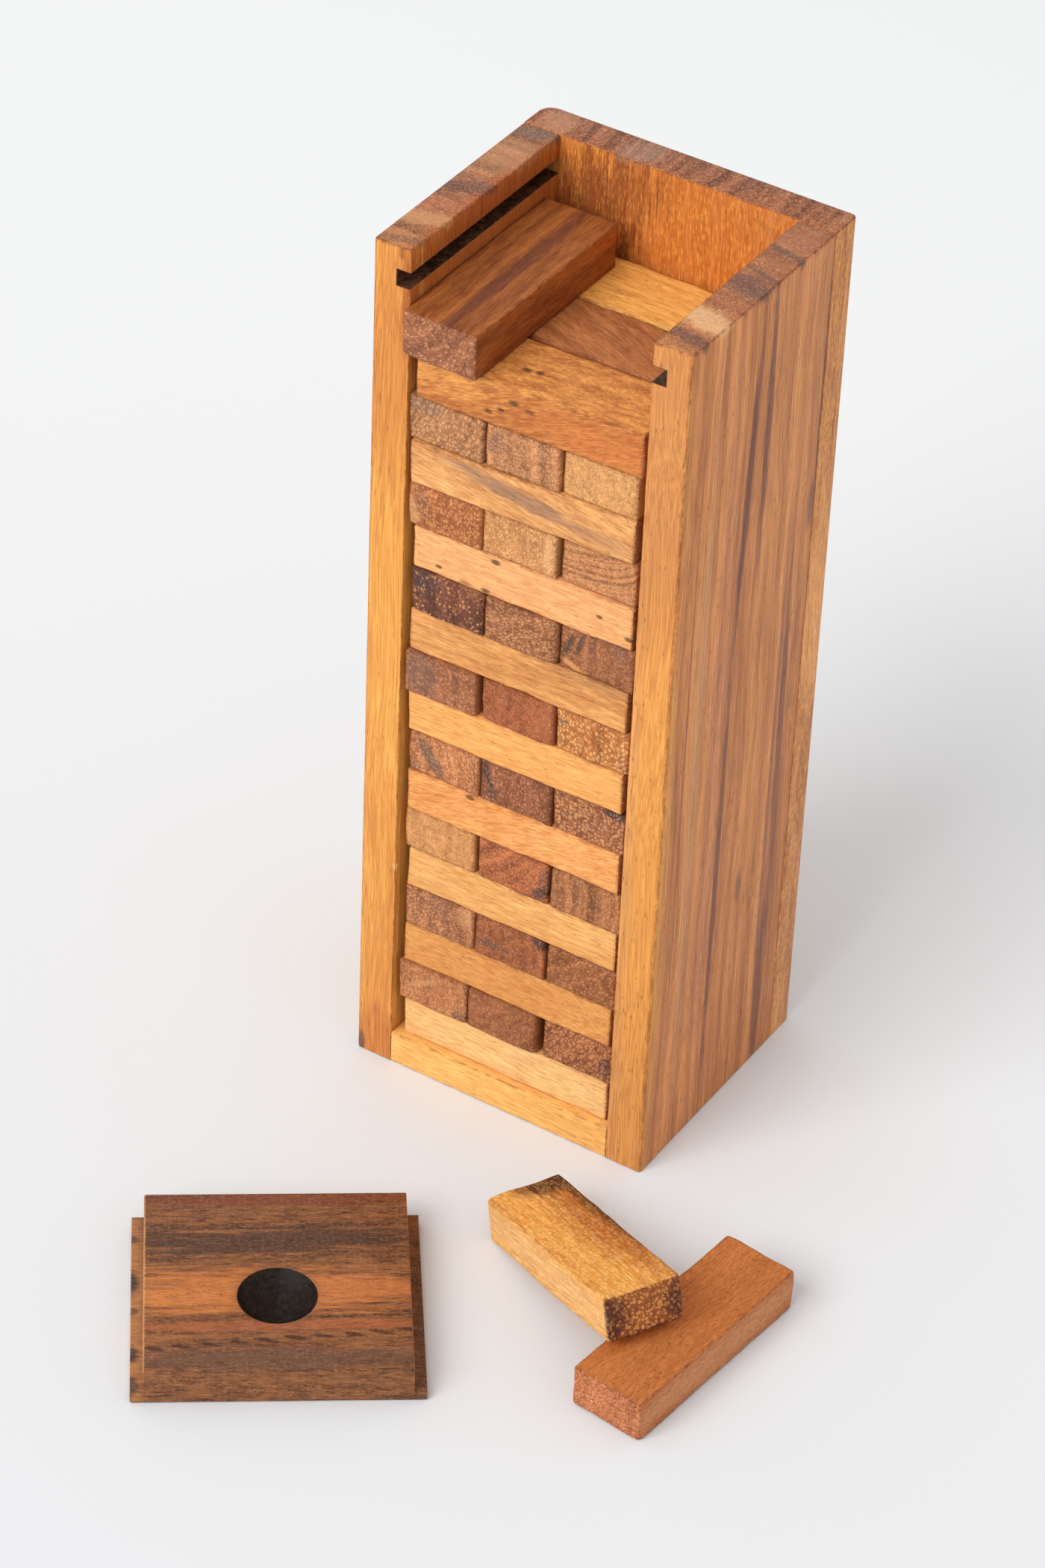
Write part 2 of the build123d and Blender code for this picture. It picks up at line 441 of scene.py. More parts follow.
BLOCK_ROUNDING = 1.0 * MM
BLOCK_GRID = 3 * MM
CASE_EASING = 0.3 * MM
LID_EASING = 0.25 * MM
EDGE_LINES = (0.0, 0.12, 0.3, 0.5, 0.72, 1.0, 1.6)  # grid lines near an edge, in roundings from it
EDGE_REACH = 1.3 * MM  # how far the edge darkening, dirt and painted shade, reaches in from an edge
WEAR_COARSE = 90  # bumps of a block's edge in a metre, large and small
WEAR_FINE = 320
WEAR_SWING = 0.9  # how far the rounding differs along an edge
WEAR_LIMITS = (0.4, 1.7)
SINK = 0.06 * MM  # how far a block's faces sink in
SINK_COARSE = 45
SHARP_EDGE = math.radians(35)
SHARP_SHADING = math.radians(40)
ONE_OF_TWO_SIDES = Vector((0.9, 0.4, 0.15))  # picks one of two opposite faces, for a board turned any way
RIGHT_OR_FRONT = Vector((1.0, -0.5, 0.0))


def own_frame(node):
    """A board's own axes from its CAD faces: x across its smallest faces, and z across its largest.

    x points to the right or the front, and z up. Gives the matrix to the row frame, and the size."""
    mesh = frame["nodes"][node].data
    areas = {}
    for face in mesh.polygons:
        normal = face.normal
        if normal.dot(ONE_OF_TWO_SIDES) < 0:
            normal = -normal
        key = tuple(round(part, 2) for part in normal)
        total, kept = areas.get(key, (0.0, normal.copy()))
        areas[key] = (total + face.area, kept)
    ranked = sorted(areas.values(), key=lambda pair: -pair[0])
    z_axis = ranked[0][1].normalized()
    y_axis = next(v for _, v in ranked if abs(v.dot(z_axis)) < 0.1).normalized()
    x_axis = y_axis.cross(z_axis).normalized()
    if z_axis.z < 0:
        z_axis = -z_axis
    if x_axis.dot(RIGHT_OR_FRONT) < 0:
        x_axis = -x_axis
    return placed_axes(node, x_axis, z_axis)


def placed_axes(node, x_axis, z_axis):
    """The matrix from a board's middle and the given axes to the row frame, and its size along them."""
    x_axis, z_axis = Vector(x_axis), Vector(z_axis)
    axes = (x_axis, z_axis.cross(x_axis), z_axis)
    middle, size = Vector(), Vector()
    for index, axis in enumerate(axes):
        spans = [vertex.co.dot(axis) for vertex in frame["nodes"][node].data.vertices]
        size[index] = max(spans) - min(spans)
        middle += axis * (max(spans) + min(spans)) / 2
    return Matrix.Translation(middle) @ Matrix(axes).transposed().to_4x4(), size


def stops(half, radius, step):
    """Grid lines from -half to half, crowded near both ends."""
    near = [radius * part for part in EDGE_LINES]
    inner = 2 * (half - near[-1])
    count = max(1, round(inner / step))
    middle = [near[-1] + inner * index / count for index in range(1, count)]
    line = near + middle + [2 * half - part for part in reversed(near)]
    return [part - half for part in line]


def worn_box(size, radius, step, seed):
    """A box of quads with worn, uneven edges."""
    half = size / 2
    lines = [stops(half[axis], radius, step) for axis in range(3)]
    last = [len(line) - 1 for line in lines]
    bm = bmesh.new()
    made = {}

    def corner(key):
        if key not in made:
            point = Vector([lines[axis][key[axis]] for axis in range(3)])
            made[key] = bm.verts.new(worn(point, half, radius, seed))
        return made[key]

    for axis in range(3):
        u, v = (axis + 1) % 3, (axis + 2) % 3
        for side in (0, last[axis]):
            for a in range(last[u]):
                for b in range(last[v]):
                    ring = []
                    for da, db in ((0, 0), (1, 0), (1, 1), (0, 1)):
                        at = [0, 0, 0]
                        at[axis], at[u], at[v] = side, a + da, b + db
                        ring.append(corner(tuple(at)))
                    bm.faces.new(ring if side else ring[::-1])
    return bm


def worn(point, half, radius, seed):
    """Moves a point of the box's surface: the edges are rounded unevenly, and the faces sink a little."""
    wander = Vector((seed * 17.3, seed * 5.1, seed * 9.7))
    wear = noise.noise(point * WEAR_COARSE + wander) + 0.6 * noise.noise(point * WEAR_FINE + wander)
    least, most = WEAR_LIMITS
    rounding = radius * min(max(1.0 + WEAR_SWING * wear, least), most)
    inner = Vector([min(max(point[i], rounding - half[i]), half[i] - rounding) for i in range(3)])
    out = point - inner
    direction = out.normalized() if out.length > 1e-9 else Vector()
    if out.length > rounding:
        point = inner + direction * rounding
    sink = SINK * (0.5 + 0.5 * noise.noise(point * SINK_COARSE - wander))
    return point - direction * sink


def eased_copy(node, matrix, easing):
    """A copy of a CAD shape in its board's own axes, with whole flat faces and eased edges."""
    bm = bmesh.new()
    bm.from_mesh(frame["nodes"][node].data)
    bm.transform(matrix.inverted())
    bmesh.ops.remove_doubles(bm, verts=bm.verts, dist=0.01 * MM)
    bmesh.ops.dissolve_limit(bm, angle_limit=math.radians(1), verts=bm.verts, edges=bm.edges)
    sharp = [edge for edge in bm.edges if edge.calc_face_angle(0.0) > SHARP_EDGE]
    bmesh.ops.bevel(
        bm, geom=sharp, offset=easing, segments=2, profile=0.5, affect="EDGES", clamp_overlap=True
    )
    return bm


def write_attributes(mesh, size):
    """Stores a point's place in its board, how far it is end grain, and how near an edge."""
    place = mesh.attributes.new("place", "FLOAT_VECTOR", "POINT")
    place.data.foreach_set("vector", [part / MM for vertex in mesh.vertices for part in vertex.co])
    end = mesh.attributes.new("end_grain", "FLOAT", "CORNER")
    ends = [min(max((abs(corner.vector.x) - 0.45) / 0.4, 0.0), 1.0) for corner in mesh.corner_normals]
    end.data.foreach_set("value", ends)
    edge = mesh.attributes.new("edge", "FLOAT", "FACE")
    values = []
    for face in mesh.polygons:
        depths = sorted(size[axis] / 2 - abs(face.center[axis]) for axis in range(3))
        values.append(min(max(1.0 - depths[1] / EDGE_REACH, 0.0), 1.0))
    edge.data.foreach_set("value", values)


def finish_piece(bm, node, matrix, size, material, burn=None, burnt=None):
    """Makes the bmesh the piece that stands for a CAD node and rides on that node's body.

    burn is the material where a cutter has burnt the board, and burnt says of a point, in the board's own
    millimetres, whether it has."""
    mesh = bpy.data.meshes.new(node + "_timber")
    bmesh.ops.recalc_face_normals(bm, faces=bm.faces)
    bm.to_mesh(mesh)
    bm.free()
    mesh.polygons.foreach_set("use_smooth", [True] * len(mesh.polygons))
    mesh.set_sharp_from_angle(angle=SHARP_SHADING)
    write_attributes(mesh, size)
    mesh.materials.append(material)
    if burn:
        mesh.materials.append(burn)
        for face in mesh.polygons:
            face.material_index = int(burnt(face.center / MM))
    piece = bpy.data.objects.new(node + "_timber", mesh)
    piece.matrix_world = matrix
    bpy.context.scene.collection.objects.link(piece)
    body = node if node in frame["bodies"] else "case"
    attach(piece, body)
    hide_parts(node)


# ---------------------------------------------------------------- looks

# How far the faces of a block, a side or back wall and the lid are from its middle, in millimetres.
BLOCK_END = 37.2
BLOCK_SIDE = 12.4
BLOCK_TOP = 7.4
WALL_TOP = 148
WALL_FRONT = 38.7
BOARD_FACE = 6.25

KNOT = (0.10, 0.04, 0.02)
SOOT = (0.13, 0.065, 0.05)
BLACK = (0.05, 0.03, 0.028)
PURPLE = (0.20, 0.085, 0.06)
CHAR = (0.07, 0.016, 0.009)


def front_knot(across, up, size=1.4, strength=0.85):
    """A small dark knot on the front face of a cross block."""
    return ((across, -BLOCK_SIDE, up), (size * 1.9, 3.0, size), KNOT, strength, 0.25)


# The front blocks of the layers that lie across the tower. A mark is written as add_mark takes it.
CROSS_FRONTS = {
    1: dict(side=((0.88, 0.43, 0.15), (0.95, 0.58, 0.24)), patches=0.4),
    3: dict(side=((0.66, 0.26, 0.07), (0.80, 0.38, 0.11)), tilt=4, streak_length=10),
    5: dict(side=((0.76, 0.35, 0.10), (0.93, 0.51, 0.18)), streaks=0.6),
    7: dict(
        side=((0.68, 0.22, 0.05), (0.93, 0.43, 0.14)),
        dip=12,
        streak_length=9,
        streaks=0.6,
        marks=(front_knot(-15, 6, 1.0),),
    ),
    9: dict(side=((0.84, 0.35, 0.09), (0.95, 0.47, 0.15)), streaks=0.4),
    11: dict(
        side=((0.54, 0.20, 0.06), (0.89, 0.44, 0.14)),
        streaks=0.7,
        streak_length=12,
        marks=(((26, -BLOCK_SIDE, 6), (22, 8, 3.5), (0.42, 0.19, 0.08), 0.55, 0.5),),
    ),
    13: dict(
        side=((0.82, 0.36, 0.13), (0.94, 0.49, 0.21)),
        marks=(
            front_knot(-9, 5.2, 1.1),
            front_knot(26, 0.5, 0.8),
            front_knot(-28, -4, 0.7),
            front_knot(-12, -6, 1.0),
            front_knot(-19, -6.8, 1.6, 0.5),
            front_knot(36, -3.5, 0.9),
        ),
    ),
    15: dict(
        side=((0.55, 0.22, 0.07), (0.90, 0.47, 0.17)),
        dip=-10,
        streak_length=10,
        streaks=0.7,
        marks=(
            ((-2, -BLOCK_SIDE, 1.5), (24, 12, 3.2), (0.30, 0.17, 0.11), 0.75, 0.7, (0, 9, 0)),
            ((20, -BLOCK_SIDE, -2), (18, 12, 3.5), (0.45, 0.22, 0.11), 0.5, 0.7, (0, 5, 0)),
        ),
    ),
    17: dict(
        side=((0.45, 0.14, 0.035), (0.83, 0.36, 0.09)),
        dip=16,
        streak_length=8,
        streaks=0.8,
        flecks=0.3,
        marks=(
            front_knot(-5, 2.4, 1.2),
            front_knot(0.4, 1.4, 1.0),
            front_knot(-9, -1.2, 0.8),
            front_knot(-13, -3.2, 0.9),
            ((-6.8, -2.3, BLOCK_TOP), (1.9, 1.3, 2), KNOT, 0.85, 0.25),
            ((-3.0, -1.6, BLOCK_TOP), (1.7, 1.2, 2), KNOT, 0.85, 0.25),
            ((26, -BLOCK_SIDE, -2), (30, 4, 9), (0.58, 0.17, 0.045), 0.75, 0.6),
        ),
    ),
}

# The two blocks behind the front one in the top cross layer, whose top faces show.
TOP_LAYER = {
    "layer_17_middle_block": dict(
        side=((0.26, 0.08, 0.025), (0.56, 0.21, 0.07)),
        tilt=20,
        streak_length=8,
    ),
    "layer_17_back_block": dict(side=((0.74, 0.29, 0.065), (0.98, 0.53, 0.135)), pores=0.9),
}


def end_mark(across, up, wide, high, tint, strength=0.8, turn=0, ragged=0.4):
    """A stain on the front end of a lengthwise block, which follows the grain inwards."""
    return ((BLOCK_END, across, up), (30.0, wide, high), tint, strength, ragged, (turn, 0, 0))


# The ends of the blocks that lie front to back: the ground, the speckles, then what sets the block apart.
LENGTHWISE = {
    (2, "left"): dict(
        end=((0.355, 0.128, 0.05), (0.83, 0.405, 0.16)),
        marks=(
            end_mark(3, -1, 6, 3.5, (0.44, 0.13, 0.05), 0.6, turn=35),
            end_mark(-3, 2, 7, 1.4, (0.66, 0.33, 0.14), 0.5, turn=30),
            end_mark(10, -6, 3.5, 3, SOOT, 0.6),
        ),
    ),
    (2, "middle"): dict(end=((0.26, 0.087, 0.036), (0.63, 0.27, 0.095)), stretch=1.5, ring_turn=60),
    (2, "right"): dict(
        end=((0.225, 0.072, 0.031), (0.82, 0.36, 0.145)),
        stretch=1.8,
        ring_turn=40,
        marks=(end_mark(10, -2, 3, 5, BLACK, 0.6),),
    ),
    (4, "left"): dict(
        end=((0.285, 0.11, 0.048), (0.83, 0.375, 0.16)),
        marks=(
            end_mark(0, 4, 5, 4, PURPLE, 0.5, turn=-40),
            end_mark(9, 4, 3, 5, (0.62, 0.30, 0.14), 0.6),
        ),
    ),
    (4, "middle"): dict(
        end=((0.24, 0.075, 0.03), (0.68, 0.255, 0.09)),
        marks=(end_mark(-6, -2, 8, 1.6, SOOT, 0.8), end_mark(11, 6, 4, 2.5, BLACK, 0.85, turn=-30)),
    ),
    (4, "right"): dict(end=((0.23, 0.08, 0.032), (0.65, 0.27, 0.10)), stretch=1.8, ring_turn=50),
    (6, "left"): dict(
        end=((0.51, 0.23, 0.08), (0.83, 0.435, 0.16)),
        speckle=0.75,
        rings=0.2,
        patches=0.1,
    ),
    (6, "middle"): dict(
        end=((0.30, 0.085, 0.035), (0.74, 0.28, 0.10)),
        ring_turn=45,
        rings=0.8,
        marks=(end_mark(10, -4, 5, 2.4, BLACK, 0.85, turn=40), end_mark(11, 2, 2.5, 5, SOOT, 0.6)),
    ),
    (6, "right"): dict(
        end=((0.275, 0.107, 0.041), (0.78, 0.35, 0.144)),
        rings=0.8,
        marks=(end_mark(-3, 2, 1.4, 8, SOOT, 0.55), end_mark(5, 0, 1.2, 8, SOOT, 0.4)),
    ),
    (8, "left"): dict(
        end=((0.36, 0.125, 0.05), (0.93, 0.46, 0.18)),
        marks=(end_mark(-5, 0, 10, 2.6, SOOT, 0.85, turn=-52), end_mark(-10, -5, 4, 3, PURPLE, 0.6)),
    ),
    (8, "middle"): dict(
        end=((0.195, 0.065, 0.03), (0.67, 0.27, 0.118)),
        stretch=1.6,
        marks=(end_mark(-10, 3, 1.6, 6, BLACK, 0.9, turn=15), end_mark(-8, -4, 2.0, 4, BLACK, 0.6)),
    ),
    (8, "right"): dict(
        end=((0.21, 0.07, 0.03), (0.82, 0.38, 0.16)),
        speckle=1.1,
        amount=1.0,
        marks=(end_mark(9, 6.5, 5, 2.2, BLACK, 0.9), end_mark(0, 0, 12, 1.2, PURPLE, 0.5)),
    ),
    (10, "left"): dict(
        end=((0.25, 0.092, 0.043), (0.72, 0.30, 0.12)),
        crowd=0.4,
        marks=(end_mark(-7, 0, 7, 10, (0.20, 0.105, 0.08), 0.6),),
    ),
    (10, "middle"): dict(end=((0.28, 0.08, 0.03), (0.62, 0.24, 0.09)), speckle=0.8, rings=0.3),
    (10, "right"): dict(
        end=((0.37, 0.117, 0.032), (0.95, 0.52, 0.18)),
        speckle=1.15,
        amount=1.0,
        marks=(end_mark(-10, 3, 1.6, 2, SOOT, 0.7), end_mark(11, -4, 3, 6, (0.30, 0.10, 0.04), 0.6)),
    ),
    (12, "left"): dict(
        end=((0.11, 0.037, 0.02), (0.82, 0.36, 0.15)),
        crowd=0.3,
        speckle=1.1,
        amount=1.0,
        marks=(
            end_mark(-9, 4, 8, 5, (0.07, 0.045, 0.045), 0.5),
            end_mark(4, 3, 9, 6, (0.24, 0.07, 0.04), 0.35),
        ),
    ),
    (12, "middle"): dict(end=((0.235, 0.088, 0.037), (0.77, 0.36, 0.15)), stretch=1.6, ring_turn=70),
    (12, "right"): dict(
        end=((0.25, 0.088, 0.039), (0.69, 0.30, 0.108)),
        marks=(
            end_mark(-9.5, 1, 1.5, 6, BLACK, 0.8, turn=-20),
            end_mark(-5.5, 3, 1.1, 6, BLACK, 0.8, turn=-20),
            end_mark(-1.5, 4, 0.9, 4, SOOT, 0.8, turn=-20),
            end_mark(-8, -5.5, 5, 1.2, (0.72, 0.32, 0.10), 0.8, turn=-20),
            end_mark(8, 5, 4, 3, PURPLE, 0.6),
        ),
    ),
    (14, "left"): dict(
        end=((0.32, 0.10, 0.031), (0.89, 0.42, 0.154)),
        crowd=0.35,
        marks=(end_mark(-11, -3, 3, 7, (0.64, 0.33, 0.14), 0.6), end_mark(-8, 2, 3, 6, PURPLE, 0.5)),
    ),
    (14, "middle"): dict(
        end=((0.46, 0.195, 0.072), (0.93, 0.54, 0.215)),
        rings=0.2,
        marks=(end_mark(9.5, 0, 1.8, 9, (0.84, 0.45, 0.20), 0.5),),
    ),
    (14, "right"): dict(
        end=((0.38, 0.15, 0.06), (0.80, 0.39, 0.16)),
        rings=0.9,
        ring_turn=75,
        ring_scale=0.5,
    ),
    (16, "left"): dict(
        end=((0.30, 0.13, 0.055), (0.84, 0.40, 0.17)),
        stretch=1.8,
        ring_turn=30,
        marks=(end_mark(-8, 5, 8, 3, (0.22, 0.125, 0.09), 0.6),),
    ),
    (16, "middle"): dict(
        end=((0.37, 0.15, 0.065), (0.92, 0.48, 0.20)),
        speckle=0.75,
        marks=(end_mark(-9, 1, 4, 5, PURPLE, 0.6),),
    ),
    (16, "right"): dict(
        end=((0.51, 0.24, 0.08), (0.88, 0.48, 0.19)),
        speckle=0.7,
        rings=0.2,
        patches=0.1,
    ),
    (18, "left"): dict(
        side=((0.18, 0.045, 0.012), (0.44, 0.14, 0.032)),
        end=((0.24, 0.085, 0.04), (0.70, 0.32, 0.14)),
        stretch=1.8,
        ring_turn=50,
        marks=(((0, 2, BLOCK_TOP), (60, 2.6, 3), (0.15, 0.045, 0.025), 0.7, 0.4),),
    ),
}

# The two blocks that lie in front.
LOOSE = {
    "loose_upper_block": dict(
        side=((0.66, 0.26, 0.05), (0.88, 0.42, 0.09)),
        end=((0.22, 0.058, 0.014), (0.84, 0.37, 0.105)),
        fleck=(0.98, 0.62, 0.22),
        speckle=1.1,
        width=0.57,
        pore_length=1.35,
        streak_length=20,
        crowd=0.62,
        flecks=0.8,
        web=0.2,
        marks=(
            ((0, -BLOCK_SIDE, 0), (60, 2.2, 6.6), (0.86, 0.46, 0.19), 0.7, 0.3),
            ((-6, 15, BLOCK_TOP), (54, 17, 8), (0.40, 0.10, 0.018), 0.85, 0.4),
            ((-36, 8, BLOCK_TOP), (11, 13, 6), CHAR, 0.95, 0.35),
            ((-14, 14, BLOCK_TOP), (32, 6, 6), CHAR, 0.95, 0.35),
            ((BLOCK_END, BLOCK_SIDE, 0), (2, 6, 9), CHAR, 0.95, 0.5),
            ((BLOCK_END, -BLOCK_SIDE, 0), (2, 7, 9), CHAR, 0.95, 0.5),
            ((BLOCK_END, 0, -8), (2, 16, 2.6), CHAR, 0.85, 0.5),
        ),
    ),
    "loose_lower_block": dict(
        side=((0.42, 0.13, 0.034), (0.60, 0.21, 0.058)),
        end=((0.33, 0.088, 0.03), (0.93, 0.45, 0.19)),
        speckle=0.75,
        streaks=0.25,
        streak_length=6,
        pores=1.0,
        pore_length=2.0,
        marks=(((0, BLOCK_SIDE, 0), (60, 2.2, 6.6), (0.62, 0.26, 0.105), 0.75, 0.3),),
    ),
}

# Timbers of the blocks that the front ones hide.
HIDDEN = (
    dict(side=((0.50, 0.18, 0.05), (0.82, 0.36, 0.11)), end=((0.26, 0.09, 0.04), (0.68, 0.30, 0.13))),
    dict(side=((0.26, 0.08, 0.03), (0.52, 0.19, 0.06)), end=((0.18, 0.06, 0.03), (0.58, 0.25, 0.11))),
    dict(side=((0.62, 0.25, 0.08), (0.90, 0.45, 0.16)), end=((0.36, 0.14, 0.06), (0.78, 0.37, 0.16))),
    dict(side=((0.38, 0.11, 0.03), (0.70, 0.26, 0.07)), end=((0.26, 0.08, 0.03), (0.64, 0.26, 0.11))),
)


def wall_stripe(height, depth, length, width, tint, strength=0.8, slope=0.0):
    """A dark line down the right wall's outside: height is from the floor, and depth from the front."""
    centre = (height - WALL_TOP, WALL_FRONT - depth, BOARD_FACE)
    return (centre, (length / 2, width / 2, 5.0), tint, strength, 0.3, (0, 0, slope))


def wall_band(across, half_width, tint, strength, slant):
    """A band of growth rings across the top of a side wall."""
    return ((WALL_TOP, across, 0), (3, half_width, 12), tint, strength, 0.4, (slant, 0, 0))


STRIPE = (0.20, 0.065, 0.04)
FAINT_STRIPE = (0.36, 0.13, 0.065)

# The boards of the case: the directions of each one's own x and z, then its look.
CASE = {
    "left_wall": (
        ((0, 0, 1), (-1, 0, 0)),
        dict(
            side=((0.75, 0.285, 0.061), (0.93, 0.485, 0.108)),
            end=((0.29, 0.11, 0.05), (0.66, 0.31, 0.14)),
            speckle=0.8,
            streak_length=45,
            pore_length=8,
            flecks=0.06,
            rings=0.9,
            ring_scale=0.2,
            marks=(
                ((-140, -WALL_FRONT, 0), (14, 5, 14), (0.52, 0.14, 0.04), 0.5, 0.6),
                ((-145, -WALL_FRONT, 5.2), (5, 4, 2.5), SOOT, 0.8),
                ((146, -WALL_FRONT, -3.1), (2.2, 3, 1.2), BLACK, 0.95),
                ((-71, -WALL_FRONT, -BOARD_FACE), (1.6, 1.6, 1.2), (0.95, 0.62, 0.30), 0.8),
                ((96, -WALL_FRONT, 3.1), (2.5, 3, 0.6), KNOT, 0.8),
                ((110, -WALL_FRONT, 0), (60, 9, 12), (0.61, 0.22, 0.05), 0.75, 0.6),
                # painted shade on the upper part of the inner face, which lies in the left wall's own
                # shadow
                ((136, 0, -BOARD_FACE), (40, 60, 4), (0.36, 0.085, 0.018), 0.9, 0.3),
                wall_band(35.0, 3.8, (0.17, 0.09, 0.075), 0.85, 20),
                wall_band(20.0, 11.0, (0.55, 0.26, 0.12), 0.5, 20),
                wall_band(-1.0, 4.5, (0.15, 0.06, 0.045), 0.85, 25),
                wall_band(-12.0, 6.0, (0.40, 0.12, 0.06), 0.6, 20),
                wall_band(-22.0, 4.0, (0.62, 0.30, 0.14), 0.6, 20),
                wall_band(-35.0, 2.5, SOOT, 0.6, 20),
            ),
        ),
    ),
    "right_wall": (
        ((0, 0, 1), (1, 0, 0)),
        dict(
            side=((0.43, 0.145, 0.042), (0.84, 0.34, 0.102)),
            end=((0.29, 0.10, 0.04), (0.68, 0.31, 0.125)),
            speckle=0.8,
            streaks=0.28,
            streak_length=60,
            pores=0.6,
            pore_length=5,
            flecks=0.04,
            rings=0.45,
            ring_scale=0.2,
            marks=(
                ((-50, WALL_FRONT, 1.0), (150, 5, 14), (0.80, 0.355, 0.08), 0.85, 0.35),
                ((-50, WALL_FRONT, -5.5), (150, 3, 3.5), (0.70, 0.32, 0.10), 0.7, 0.4),
                ((110, WALL_FRONT, 0), (60, 4, 14), (0.60, 0.25, 0.075), 0.85, 0.4),
                wall_stripe(232, 37.0, 130, 4.4, STRIPE, 0.95, -2.6),
                wall_stripe(90, 34.3, 210, 3.6, STRIPE, 0.85, -0.3),
                wall_stripe(250, 46.0, 120, 4.0, STRIPE, 0.85),
                wall_stripe(120, 68.0, 190, 4.4, STRIPE, 0.75, 1.2),
                wall_stripe(30, 66.5, 90, 6.5, STRIPE, 0.8),
                wall_stripe(110, 64.0, 220, 2.6, FAINT_STRIPE, 0.8),
                wall_stripe(80, 48.9, 14, 4.0, SOOT, 0.6),
                wall_stripe(160, 10.4, 300, 1.2, FAINT_STRIPE, 0.8),
                wall_stripe(150, 28.0, 320, 10.0, (0.62, 0.25, 0.14), 0.35),
                wall_stripe(150, 17.0, 320, 7.0, (0.84, 0.44, 0.20), 0.4),
                wall_stripe(245, 77.0, 100, 1.6, SOOT, 0.8),
                wall_stripe(205, 75.5, 20, 4.0, SOOT, 0.6),
                wall_band(-0.8, 6.2, (0.15, 0.065, 0.05), 0.85, -12),
                wall_band(10.0, 3.6, (0.36, 0.11, 0.05), 0.6, -12),
                wall_band(20.5, 6.0, (0.85, 0.50, 0.25), 0.75, -12),
                wall_band(30.9, 2.6, (0.15, 0.065, 0.05), 0.8, -12),
                wall_band(-8.5, 1.2, SOOT, 0.7, -12),
                wall_band(-22.0, 1.8, SOOT, 0.8, -12),
                wall_band(-30.0, 6.0, (0.42, 0.14, 0.07), 0.5, -12),
            ),
        ),
    ),
    "back_wall": (
        ((0, 0, 1), (0, 1, 0)),
        dict(
            side=((0.42, 0.15, 0.055), (0.82, 0.37, 0.14)),
            end=((0.21, 0.072, 0.035), (0.66, 0.30, 0.15)),
            rings=0.8,
            fleck=(0.98, 0.47, 0.12),
            streak_length=30,
            speckle=0.8,
            pore_length=3.2,
            flecks=0.7,
            marks=(
                # the inner face's vivid orange: the board's own colour, with painted warm light reflected
                # inside the case
                ((0, 0, -6.15), (300, 90, 0.8), (0.58, 0.165, 0.022), 0.85, 0.3),
                # painted shadow of the left wall on the inner face's upper left
                ((126, -26, -6.15), (34, 17, 3), (0.25, 0.06, 0.018), 0.8, 0.9, (0, 0, 30)),
                ((118, 30, -6.15), (10, 16, 3), (0.46, 0.12, 0.02), 0.5, 0.6),
                ((WALL_TOP, -15, 0), (3, 7, 9), (0.34, 0.22, 0.17), 0.5, 0.5, (-30, 0, 0)),
                ((WALL_TOP, -44, 0), (3, 6, 9), (0.56, 0.28, 0.16), 0.5, 0.5),
            ),
        ),
    ),
    "base_board": (
        ((1, 0, 0), (0, 0, 1)),
        dict(side=((0.88, 0.42, 0.115), (0.97, 0.56, 0.17)), flecks=0.05),
    ),
}


def lid_band(back, middle, width, tint, strength=0.7, ragged=0.5, slope=0.0):
    """A band of the lid's top along its grain. back is how far back it lies, and middle how far right."""
    return ((middle, back, BOARD_FACE), (55.0, width / 2, 5.0), tint, strength, ragged, (0, 0, slope))


def lid_dashes():
    """A slanting row of short dark dashes across the lid's top."""
    places = [(-36 + 8.2 * step, -28.4 + 0.8 * step, BOARD_FACE) for step in range(10)]
    return [(place, (3.6, 0.9, 2), (0.05, 0.018, 0.012), 0.85, 0.5, (0, 0, -12)) for place in places]


LID = dict(
    side=((0.08, 0.031, 0.018), (0.31, 0.12, 0.045)),
    end=((0.22, 0.08, 0.035), (0.66, 0.30, 0.12)),
    streaks=0.7,
    streak_length=9,
    lines=0.9,
    pores=0.9,
    pore_length=1.6,
    fleck=(0.43, 0.195, 0.078),
    flecks=0.5,
    marks=(
        lid_band(35, 0, 7, (0.20, 0.05, 0.025), 0.8, 0.8),
        lid_band(17, -3, 13, (0.068, 0.034, 0.024), 0.85, 1.0, 1.5),
        lid_band(-5, -8, 22, (0.62, 0.21, 0.055), 0.85, 0.6),
        ((26, -4, BOARD_FACE), (24, 5, 5), (0.50, 0.16, 0.05), 0.7, 0.6),
        lid_band(-19, 0, 6, (0.42, 0.12, 0.045), 0.7, 0.6),
        lid_band(-33, 0, 11, (0.13, 0.065, 0.045), 0.8, 0.6),
        *lid_dashes(),
        ((0, -6.4, BOARD_FACE), (13.6, 13.6, 2), (0.05, 0.022, 0.015), 0.9, 0.2),
        ((-44, 0, -4), (6.5, 70, 5), (0.46, 0.20, 0.07), 0.9, 0.1),
        ((-43, 28, -3), (3, 2, 3), BLACK, 0.8),
        ((-43, 9, -3), (3, 6, 3), BLACK, 0.95),
        ((-43, -3, -3), (3, 2, 3), BLACK, 0.7),
        ((-43, -21, -3), (3, 4, 3), BLACK, 0.95),
        ((-43, -34, -3), (3, 5, 3), BLACK, 0.85),
        ((43, 0, -5), (4.5, 60, 3.4), (0.10, 0.05, 0.035), 0.8, 0.2),
        ((-39.3, 0, 6.2), (0.8, 70, 0.9), (0.62, 0.30, 0.13), 0.8, 0.3),
    ),
)


# ---------------------------------------------------------------- making


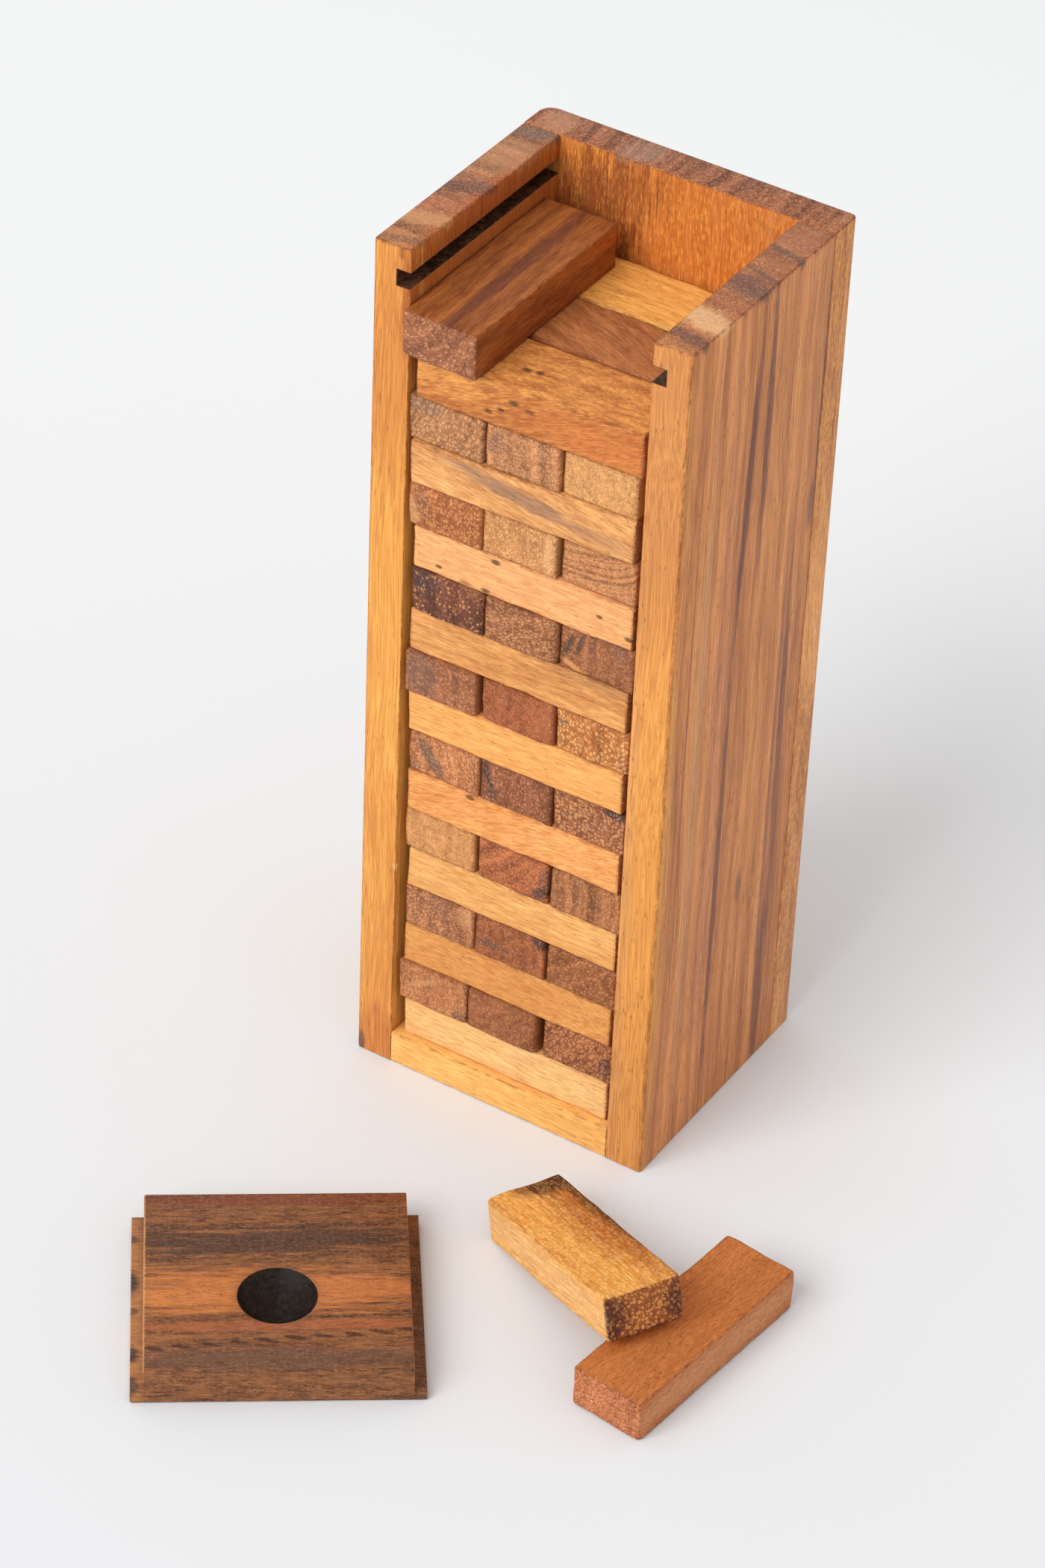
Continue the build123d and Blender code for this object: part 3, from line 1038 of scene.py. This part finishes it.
def look_of(node, number):
    """The look of a block: those that show have their own, and the hidden ones take turns."""
    if node in LOOSE:
        return LOOSE[node]
    if node in TOP_LAYER:
        return TOP_LAYER[node]
    layer, place = node.split("_")[1:3]
    if place == "front":
        return CROSS_FRONTS[int(layer)]
    return LENGTHWISE.get((int(layer), place), HIDDEN[number % len(HIDDEN)])


def make_blocks():
    """Every block, with worn edges and a timber of its own."""
    nodes = sorted(name for name in frame["nodes"] if name.endswith("_block"))
    for number, node in enumerate(nodes):
        matrix, size = own_frame(node)
        bm = worn_box(size, BLOCK_ROUNDING, BLOCK_GRID, number)
        finish_piece(bm, node, matrix, size, make_timber(node, number, **look_of(node, number)))


# The groove for the lid, in a side wall's millimetres.
GROOVE_MIDDLE = 138
GROOVE_HALF = 2.8
GROOVE_DEPTHS = (-6.1, 0)

# The finger dimple, in the lid's millimetres.
DIMPLE_FORWARD = 6.4
DIMPLE_RADIUS = 12.3
DIMPLE_DEPTHS = (-2, 6.1)

# Each board's number moves its grain through the timber, and the case and the lid follow the blocks.
CASE_NUMBER = 70
LID_NUMBER = 80


def in_groove(point):
    """Whether a point of a side wall's surface is in the groove for the lid."""
    low, high = GROOVE_DEPTHS
    return abs(point.x - GROOVE_MIDDLE) < GROOVE_HALF and low < point.z < high


def in_dimple(point):
    """Whether a point of the lid's surface is in the finger dimple."""
    low, high = DIMPLE_DEPTHS
    return math.hypot(point.x, point.y + DIMPLE_FORWARD) < DIMPLE_RADIUS and low < point.z < high


def make_case():
    """The four boards of the case, with the side walls' grooves scorched."""
    for number, (node, (axes, look)) in enumerate(CASE.items(), CASE_NUMBER):
        matrix, size = placed_axes(node, *axes)
        bm = eased_copy(node, matrix, CASE_EASING)
        burn = SCORCHED if node in ("left_wall", "right_wall") else None
        finish_piece(bm, node, matrix, size, make_timber(node, number, **look), burn, in_groove)


def make_lid():
    """The sliding lid, with its grain from tongue to tongue."""
    matrix, size = own_frame("lid")
    bm = eased_copy("lid", matrix, LID_EASING)
    finish_piece(bm, "lid", matrix, size, make_timber("lid", LID_NUMBER, **LID), CHARRED, in_dimple)


make_camera()
make_world()
make_area_light("key", **KEY_LIGHT)
make_floor()
make_blocks()
make_case()
make_lid()

bpy.context.scene.view_settings.view_transform = "Standard"
